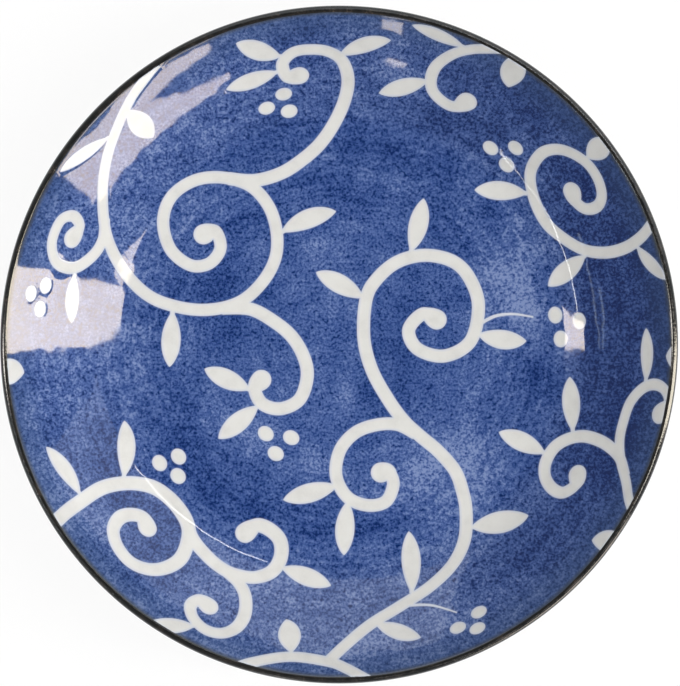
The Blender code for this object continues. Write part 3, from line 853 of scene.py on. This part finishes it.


# Materials

# Ranges of noise, the blue's calm middle, a glaze's ripple as strength and height, and the painted highlight
# on the rim: how far out from the lip's centre its line runs, and the side it is brightest on
MIDDLING = (0.3, 0.7)
GRAIN_RANGE = (0.26, 0.64)
CALM_MIDDLE = (0.028, 0.036)
GLAZE_RIPPLE = (0.06, 0.0003)
CREST_HIGHLIGHT_LINE = 0.00033
HIGHLIGHT_SIDE = (0.98, 0.17, 0)


class Nodes:
    """A tree of shader nodes, each fed by others."""

    def __init__(self, tree):
        self.tree = tree

    def add(self, kind, **settings):
        """A new node."""
        node = self.tree.nodes.new(kind)
        for key, value in settings.items():
            setattr(node, key, value)
        return node

    def put(self, socket, value):
        """A number, colour or another node's output on an input."""
        if isinstance(value, bpy.types.NodeSocket):
            self.tree.links.new(value, socket)
        else:
            socket.default_value = value

    def fill(self, node, *values, **named):
        """Values on a node's inputs, from the first one on or by name; returns the node's outputs."""
        for socket, value in zip(node.inputs, values):
            self.put(socket, value)
        for key, value in named.items():
            self.put(node.inputs[key.replace("_", " ")], value)
        return node.outputs

    def math(self, operation, *values, clamp=False):
        """Arithmetic with numbers."""
        return self.fill(self.add("ShaderNodeMath", operation=operation, use_clamp=clamp), *values)[0]

    def vector(self, operation, *values):
        """Arithmetic with vectors."""
        outputs = self.fill(self.add("ShaderNodeVectorMath", operation=operation), *values)
        return outputs["Value" if operation in ("LENGTH", "DOT_PRODUCT") else "Vector"]

    def ramp(self, value, low, high, to_low=0.0, to_high=1.0, kind="SMOOTHSTEP"):
        """A number that goes from to_low to to_high as the value goes from low to high."""
        node = self.add("ShaderNodeMapRange", interpolation_type=kind)
        return self.fill(node, value, low, high, to_low, to_high)["Result"]


class Shader(Nodes):
    """A Principled material and the nodes that feed it."""

    def __init__(self, name, **values):
        self.material = bpy.data.materials.new(name)
        self.material.use_nodes = True
        super().__init__(self.material.node_tree)
        self.surface = self.tree.nodes["Principled BSDF"]
        self.place = self.add("ShaderNodeTexCoord").outputs["Object"]
        self.feed(**values)

    def feed(self, **values):
        """Values on the surface's inputs."""
        self.fill(self.surface, **values)

    def noise(self, vector, scale, detail=2.0, roughness=0.5):
        """Cloudy noise between 0 and 1, finer as the scale grows."""
        node = self.add("ShaderNodeTexNoise")
        return self.fill(node, Vector=vector, Scale=scale, Detail=detail, Roughness=roughness)["Fac"]

    def sway(self, tone, noise, amount):
        """A tone moved up and down by noise."""
        return self.math("MULTIPLY_ADD", self.math("SUBTRACT", noise, 0.5), amount, tone)

    def specks(self, scale, share, size, softness):
        """Round specks in a share of the cells of a scattering."""
        cells = self.fill(self.add("ShaderNodeTexVoronoi"), Vector=self.place, Scale=scale)
        chance = self.fill(self.add("ShaderNodeSeparateColor"), cells["Color"])[1]
        rare = self.ramp(chance, 1 - share, 1 - share + 0.02)
        return self.math("MULTIPLY", rare, self.ramp(cells["Distance"], size, size + softness, 1, 0))

    def colours(self, value, stops):
        """A colour from a row of colours."""
        node = self.add("ShaderNodeValToRGB")
        elements = node.color_ramp.elements
        while len(elements) < len(stops):
            elements.new(0.5)
        for element, (position, colour) in zip(elements, stops):
            element.position = position
            element.color = (*colour, 1)
        return self.fill(node, value)["Color"]

    def mix(self, share, first, second):
        """A colour between two."""
        node = self.add("ShaderNodeMix", data_type="RGBA")
        self.put(node.inputs[0], share)
        self.put(node.inputs[6], first)
        self.put(node.inputs[7], (*second, 1))
        return node.outputs[2]

    def attribute(self, name):
        """Numbers kept at the points of a piece."""
        return self.add("ShaderNodeAttribute", attribute_name=name).outputs["Fac"]

    def bump(self, height, strength, distance):
        """Fine unevenness of the surface."""
        node = self.add("ShaderNodeBump")
        self.feed(Normal=self.fill(node, Strength=strength, Distance=distance, Height=height)["Normal"])

    def round_place(self, sweep, breadth):
        """A place whose features run in rings, long round the axis and fine across, and its radius."""
        flat = self.vector("MULTIPLY", self.place, (1, 1, 0))
        out = self.vector("LENGTH", flat)
        around = self.vector("SCALE", self.vector("NORMALIZE", flat))
        around.node.inputs["Scale"].default_value = sweep
        across = self.fill(self.add("ShaderNodeCombineXYZ"), Z=self.math("DIVIDE", out, breadth))[0]
        return self.vector("ADD", around, across), out


def blue_glaze():
    """Cobalt brushed on in rings and speckled, with painted shade on the right walls and painted light on
    the lower left and bottom walls, paler beside the slip and thin and grey towards the lip.
    """
    s = Shader("blue_glaze_look", IOR=1.6)
    broad, out = s.round_place(1.6, 0.0085)
    hairs, _ = s.round_place(2.2, 0.0011)
    strokes = s.noise(broad, 1.0, 3.0)
    streaks = s.noise(hairs, 1.0, 3.0)
    clouds = s.noise(s.place, 150, 3.0)
    flat = s.vector("MULTIPLY", s.place, (1, 1, 0.3))
    blots = s.noise(flat, 620, 1.0)
    grain = s.noise(flat, 1550, 3.0, 0.66)
    dapple = s.math("SUBTRACT", s.ramp(grain, *GRAIN_RANGE), 0.63)
    specks = s.ramp(s.noise(flat, 1150, 0.0), 0.24, 0.34, 1.0, 0.0)
    # The tone from the pieces brings brush marks and painted shade and light on the walls
    tone = s.math("MULTIPLY_ADD", s.attribute("tone"), 0.3, 0.51)
    tone = s.sway(tone, strokes, 0.5)
    tone = s.sway(tone, streaks, s.ramp(out, *CALM_MIDDLE, 0.42, 0.62))
    tone = s.sway(tone, clouds, 0.7)
    tone = s.sway(tone, blots, s.ramp(out, *CALM_MIDDLE, 0.2, 0.52))
    tone = s.math("MULTIPLY_ADD", dapple, s.ramp(out, 0.050, 0.064, 0.66, 0.8), tone)
    tone = s.math("MULTIPLY_ADD", specks, -0.34, tone, clamp=True)
    blue = s.colours(tone, [
        (0.0, (0.002, 0.016, 0.100)),
        (0.25, (0.018, 0.049, 0.190)),
        (0.5, (0.043, 0.088, 0.263)),
        (0.75, (0.088, 0.142, 0.340)),
        (1.0, (0.192, 0.258, 0.470)),
    ])
    thin = s.ramp(out, 0.072, FACE_EDGE, 0.0, 0.35)
    blue = s.mix(thin, blue, (0.034, 0.070, 0.150))
    edge = s.ramp(out, FACE_EDGE - 0.0008, FACE_EDGE + 0.0003, 0.0, 0.8)
    blue = s.mix(edge, blue, (0.045, 0.055, 0.070))
    fringe = s.ramp(s.attribute("gap"), 0.0, 0.0004, 0.2, 0.0)
    s.feed(Base_Color=s.mix(fringe, blue, (0.36, 0.40, 0.44)),
           Roughness=s.ramp(clouds, *MIDDLING, 0.04, 0.06),
           Specular_IOR_Level=s.ramp(grain, *GRAIN_RANGE, 0.57, 0.44))
    s.bump(s.noise(s.place, 320, 0.0), *GLAZE_RIPPLE)
    return s.material


def white_slip():
    """Warm white slip under a clear glaze, with the blue showing through where it thins to its edges."""
    s = Shader("white_slip_look", IOR=1.52)
    clouds = s.noise(s.place, 260, 3.0)
    grain = s.noise(s.place, 2600, 2.0)
    body = s.colours(s.sway(clouds, grain, 0.35), [
        (0.25, (0.620, 0.613, 0.588)),
        (0.5, (0.668, 0.662, 0.634)),
        (0.75, (0.692, 0.687, 0.660)),
    ])
    edge = s.ramp(s.attribute("depth"), 0.0, 0.0007, 0.55, 0.0)
    s.feed(Base_Color=s.mix(edge, body, (0.45, 0.52, 0.69)),
           Roughness=s.ramp(clouds, *MIDDLING, 0.04, 0.06))
    s.bump(s.noise(s.place, 320, 0.0), *GLAZE_RIPPLE)
    return s.material


def iron_glaze():
    """Black iron wash on the rim, browner where it is thin, with a pale line along the lip's crest where the
    wash runs thin, painted brightest on the right as a highlight of the window there.
    """
    s = Shader("iron_glaze_look", IOR=1.75, Specular_Tint=(0.90, 0.96, 1, 1))
    along, out = s.round_place(26.0, 0.0012)
    streaks = s.noise(along, 1.0, 3.0)
    grain = s.noise(s.place, 1800, 2.0)
    tone = s.sway(streaks, grain, 0.6)
    wash = s.colours(tone, [
        (0.3, (0.004, 0.004, 0.004)),
        (0.55, (0.010, 0.009, 0.008)),
        (0.8, (0.045, 0.034, 0.027)),
    ])
    # A pale line painted along the lip's crest as a highlight, brightest on the side that faces the window
    aside = s.math("ABSOLUTE", s.math("SUBTRACT", out, LIP.x + CREST_HIGHLIGHT_LINE))
    crest_highlight = s.math("MULTIPLY", s.ramp(aside, 0.0, 0.0003, 0.42, 0.0), s.ramp(tone, 0.35, 0.6))
    facing = s.vector("DOT_PRODUCT", s.vector("NORMALIZE", s.place), HIGHLIGHT_SIDE)
    crest_highlight = s.math("MULTIPLY", crest_highlight, s.ramp(facing, -0.6, 0.6))
    s.feed(Base_Color=s.mix(crest_highlight, wash, (0.110, 0.103, 0.098)),
           Roughness=s.ramp(grain, *MIDDLING, 0.04, 0.16))
    s.bump(s.math("ADD", grain, streaks), 0.08, 0.0002)
    return s.material


def clear_glaze(name):
    """Clear glaze on off-white clay, faintly blue where it runs thick, with a few iron specks."""
    s = Shader(name, IOR=1.5)
    rings, _ = s.round_place(1.4, 0.0016)
    ridges = s.noise(rings, 1.0, 2.0)
    clouds = s.noise(s.place, 70, 3.0)
    body = s.colours(s.sway(clouds, ridges, 0.3), [
        (0.3, (0.585, 0.610, 0.615)),
        (0.5, (0.655, 0.665, 0.650)),
        (0.7, (0.690, 0.690, 0.665)),
    ])
    specks = s.specks(260, 0.07, 0.03, 0.06)
    s.feed(Base_Color=s.mix(specks, body, (0.12, 0.075, 0.045)),
           Roughness=s.ramp(clouds, *MIDDLING, 0.06, 0.12))
    s.bump(s.math("ADD", ridges, s.noise(s.place, 300, 2.0)), 0.06, 0.0004)
    return s.material


def bare_clay():
    """Unglazed fired clay, sandy and turned, toasted in places."""
    s = Shader("bare_clay_look", IOR=1.45)
    rings, _ = s.round_place(0.8, 0.0004)
    lines = s.noise(rings, 1.0, 2.0)
    sand = s.noise(s.place, 3000, 3.0, 0.65)
    toast = s.noise(s.place, 60, 3.0)
    body = s.colours(s.sway(toast, sand, 0.6), [
        (0.25, (0.40, 0.315, 0.23)),
        (0.5, (0.56, 0.49, 0.40)),
        (0.75, (0.66, 0.61, 0.53)),
    ])
    s.feed(Base_Color=body, Roughness=s.ramp(sand, *MIDDLING, 0.75, 0.95))
    s.bump(s.math("ADD", sand, lines), 0.35, 0.0002)
    return s.material


# Stage, light and camera

CAMERA_HEIGHT = 5.0
PICTURE_HEIGHT = 686
PIXEL = RIM_RADIUS / 338.8
CAMERA_ASIDE = (0.9 * PIXEL, 1.56 * PIXEL)
FLOOR_HALF = 6.0
FLOOR_GLOW = 0.88
PANEL_AWAY = 3.0
WINDOW_SIZE = (0.396, 4.85)
WINDOW_LEAN = math.radians(-1.78)
WINDOW_PLACE = (1.5, -0.24, 2.5)
GLARE_PLACE = (1.48, -0.237, 2.47)
WHITE = (1, 1, 1)
BLUISH = (0.7, 0.85, 1)
CREAM = (1, 0.9, 0.8)

# The bright windows, panes and strips that the glaze mirrors: the directions in which their middle line
# starts and ends, as azimuth and elevation, their breadth in degrees, radiance and colour
CORNER_WINDOW = ((-67.5, 11.5), (-31, 12.95), 17.6, 7.5, (1, 0.84, 0.69))
WINDOW_TOP = ((-33, 61), (-18.4, 61), 20, 9, (1, 0.88, 0.74))
PANES = {
    "side_window": ((184.3, 64.8), (181.9, 35.5), 5.2, 11.4, (1, 0.885, 0.79)),
    "right_strip": ((187.2, 43.4), (214, 34.5), 1.1, 13, WHITE),
    "right_strip_end": ((214, 34.6), (231, 30), 0.5, 14, WHITE),
    "left_strip": ((31, 48), (71, 60), 1.1, 15, WHITE),
    "upper_seam": ((178.7, 27.4), (205, 26), 0.4, 3.2, BLUISH),
    "lower_seam": ((178.7, 25.8), (192, 25.1), 0.4, 3.2, BLUISH),
    "low_pane": ((-101.5, 5.8), (-97.4, 5.5), 4.5, 6, CREAM),
    "high_pane": ((-103.2, 18.6), (-99.1, 17.5), 1.9, 7, CREAM),
}

# Lines across two of them, as shape_panel reads them: a dark slit, and the wedge that is bright
CORNER_SLIT = [(-1.66, -1, 1.106), (-0.3, -1, 0.785), (-0.549, 1, -0.156)]
TOP_WEDGE = [(1.32, 1, -1.07), (0.155, -1, 0.755)]
PANEL_EDGE = (-0.01, 0.03)


def make_floor():
    """A plain white floor that keeps a light shadow."""
    mesh = bpy.data.meshes.new("floor")
    corners = [(-1, -1), (1, -1), (1, 1), (-1, 1)]
    mesh.from_pydata([(x * FLOOR_HALF, y * FLOOR_HALF, 0) for x, y in corners], [], [(0, 1, 2, 3)])
    floor = bpy.data.objects.new("floor", mesh)
    bpy.context.scene.collection.objects.link(floor)
    s = Shader("floor_white", Base_Color=(0.95, 0.95, 0.95, 1), Roughness=0.9)
    ray = s.add("ShaderNodeLightPath").outputs
    seen = s.math("MAXIMUM", ray["Is Camera Ray"], ray["Is Glossy Ray"])
    seen = s.math("MAXIMUM", seen, ray["Is Transmission Ray"])
    glow = s.add("ShaderNodeEmission").outputs[0]
    share = s.math("MULTIPLY", seen, FLOOR_GLOW)
    pale = s.fill(s.add("ShaderNodeMixShader"), share, s.surface.outputs[0], glow)[0]
    s.put(s.tree.nodes["Material Output"].inputs[0], pale)
    mesh.materials.append(s.material)


def make_lamp(name, size, radiance, colour, mirrored, lights):
    """A rectangular lamp of even radiance that the camera doesn't see."""
    light = bpy.data.lights.new(name, "AREA")
    light.shape = "RECTANGLE"
    light.size, light.size_y = size
    light.color = colour
    light.energy = radiance * math.pi * light.size * light.size_y
    lamp = bpy.data.objects.new(name, light)
    lamp.visible_camera = False
    lamp.visible_glossy = mirrored
    lamp.visible_diffuse = lights
    bpy.context.scene.collection.objects.link(lamp)
    return lamp


def make_window(name, place, radiance, colour, mirrored=True, lights=True):
    """The tall window at the right."""
    lamp = make_lamp(name, WINDOW_SIZE, radiance, colour, mirrored, lights)
    lamp.location = place
    lamp.rotation_euler = (math.pi / 2, WINDOW_LEAN, math.pi / 2)


def direction(azimuth, elevation):
    """A unit vector towards a place in the room, from angles in degrees."""
    turn, rise = math.radians(azimuth), math.radians(elevation)
    return Vector((math.cos(turn) * math.cos(rise), math.sin(turn) * math.cos(rise), math.sin(rise)))


def make_panel(name, start, end, breadth, radiance, colour=WHITE, mirrored=True, lights=True):
    """A light panel whose middle line runs between two directions, as broad as an angle in degrees."""
    first, last = direction(*start) * PANEL_AWAY, direction(*end) * PANEL_AWAY
    middle = (first + last) / 2
    along = (last - first).normalized()
    across = middle.cross(along).normalized()
    size = ((last - first).length, 2 * middle.length * math.tan(math.radians(breadth) / 2))
    lamp = make_lamp(name, size, radiance, colour, mirrored, lights)
    lamp.matrix_world = Matrix((along, across, along.cross(across))).transposed().to_4x4()
    lamp.location = middle
    return lamp


def shape_panel(lamp, lines, within, beyond):
    """Set how bright a panel is within and beyond straight lines drawn across it, as curtains leave it.

    A line is three numbers a, b, c: a place x, y on the panel, from 0 to 1, is within it where
    a * x + b * y + c is above zero.
    """
    lamp.data.use_nodes = True
    nodes = Nodes(lamp.data.node_tree)
    spot = nodes.add("ShaderNodeNewGeometry").outputs["Parametric"]
    x, y, _ = nodes.fill(nodes.add("ShaderNodeSeparateXYZ"), spot)
    least = None
    for a, b, c in lines:
        side = nodes.math("MULTIPLY_ADD", y, b, nodes.math("MULTIPLY_ADD", x, a, c))
        least = nodes.math("MINIMUM", least, side) if least else side
    level = nodes.ramp(least, *PANEL_EDGE, beyond, within, "LINEAR")
    nodes.put(nodes.tree.nodes["Emission"].inputs["Strength"], level)


def make_world():
    """Dim even light from all round, dimmer still straight above where the camera is."""
    world = bpy.data.worlds.new("studio")
    world.use_nodes = True
    bpy.context.scene.world = world
    nodes = Nodes(world.node_tree)
    around = nodes.add("ShaderNodeTexCoord").outputs["Generated"]
    height = nodes.fill(nodes.add("ShaderNodeSeparateXYZ"), around)["Z"]
    level = nodes.ramp(height, 0.8, 0.97, 0.24, 0.1)
    nodes.fill(nodes.tree.nodes["Background"], (1, 1, 1, 1), level)


def make_lights():
    """Soft boxes for even light, and the bright windows that the glaze mirrors."""
    make_panel("ceiling", (0, 57), (180, 57), 67, 0.82, mirrored=False)
    make_panel("fill", (180, 27), (180, 53), 30, 2.2, mirrored=False)
    make_panel("front_fill", (240, 42), (300, 42), 30, 1.15, mirrored=False)
    make_panel("pale_wall", (15, 23), (115, 23), 42, 0.7)
    make_window("window", WINDOW_PLACE, 10.1, (1, 0.98, 0.96), mirrored=False)
    make_window("window_glare", GLARE_PLACE, 11.4, (1, 0.855, 0.67), lights=False)
    corner = make_panel("corner_window", *CORNER_WINDOW, lights=False)
    shape_panel(corner, CORNER_SLIT, 0, 1)
    top = make_panel("window_top", *WINDOW_TOP, lights=False)
    shape_panel(top, TOP_WEDGE, 1, 0)
    for name, values in PANES.items():
        make_panel(name, *values, lights=False)


def make_camera():
    """Straight above, as the picture was taken."""
    lens = bpy.data.cameras.new("camera")
    lens.lens = lens.sensor_width * (CAMERA_HEIGHT - LIP.y) / (PICTURE_HEIGHT * PIXEL)
    camera = bpy.data.objects.new("camera", lens)
    camera.location = (*CAMERA_ASIDE, CAMERA_HEIGHT)
    bpy.context.scene.collection.objects.link(camera)
    bpy.context.scene.camera = camera


def main():
    """Dress the plate and set it on its stage."""
    slip = white_slip()
    borders = {FLUSH_RELIEF: [], RAISED_RELIEF: [], THICK_RELIEF: []}
    for name, drawing in VINES.items():
        relief = RELIEFS.get(name, FLUSH_RELIEF)
        borders[relief].append(slip_piece(name, vine_outlines(drawing), relief, slip))
    for name, places in BERRIES.items():
        relief = RELIEFS.get(name, FLUSH_RELIEF)
        for number, place in enumerate(places, start=1):
            dab = disc(plan(place), DAB_OUT, DAB_AROUND, BERRY_SIDES)
            borders[relief].append(slip_piece(f"{name}_{number}", [dab], relief, slip))
    face_piece(borders, blue_glaze())
    make_rim(iron_glaze())
    make_back(clear_glaze("clear_glaze_look"))
    make_recess(clear_glaze("recess_glaze_look"))
    make_body(bare_clay())
    make_floor()
    make_world()
    make_lights()
    make_camera()
    bpy.context.scene.view_settings.view_transform = "Standard"


main()
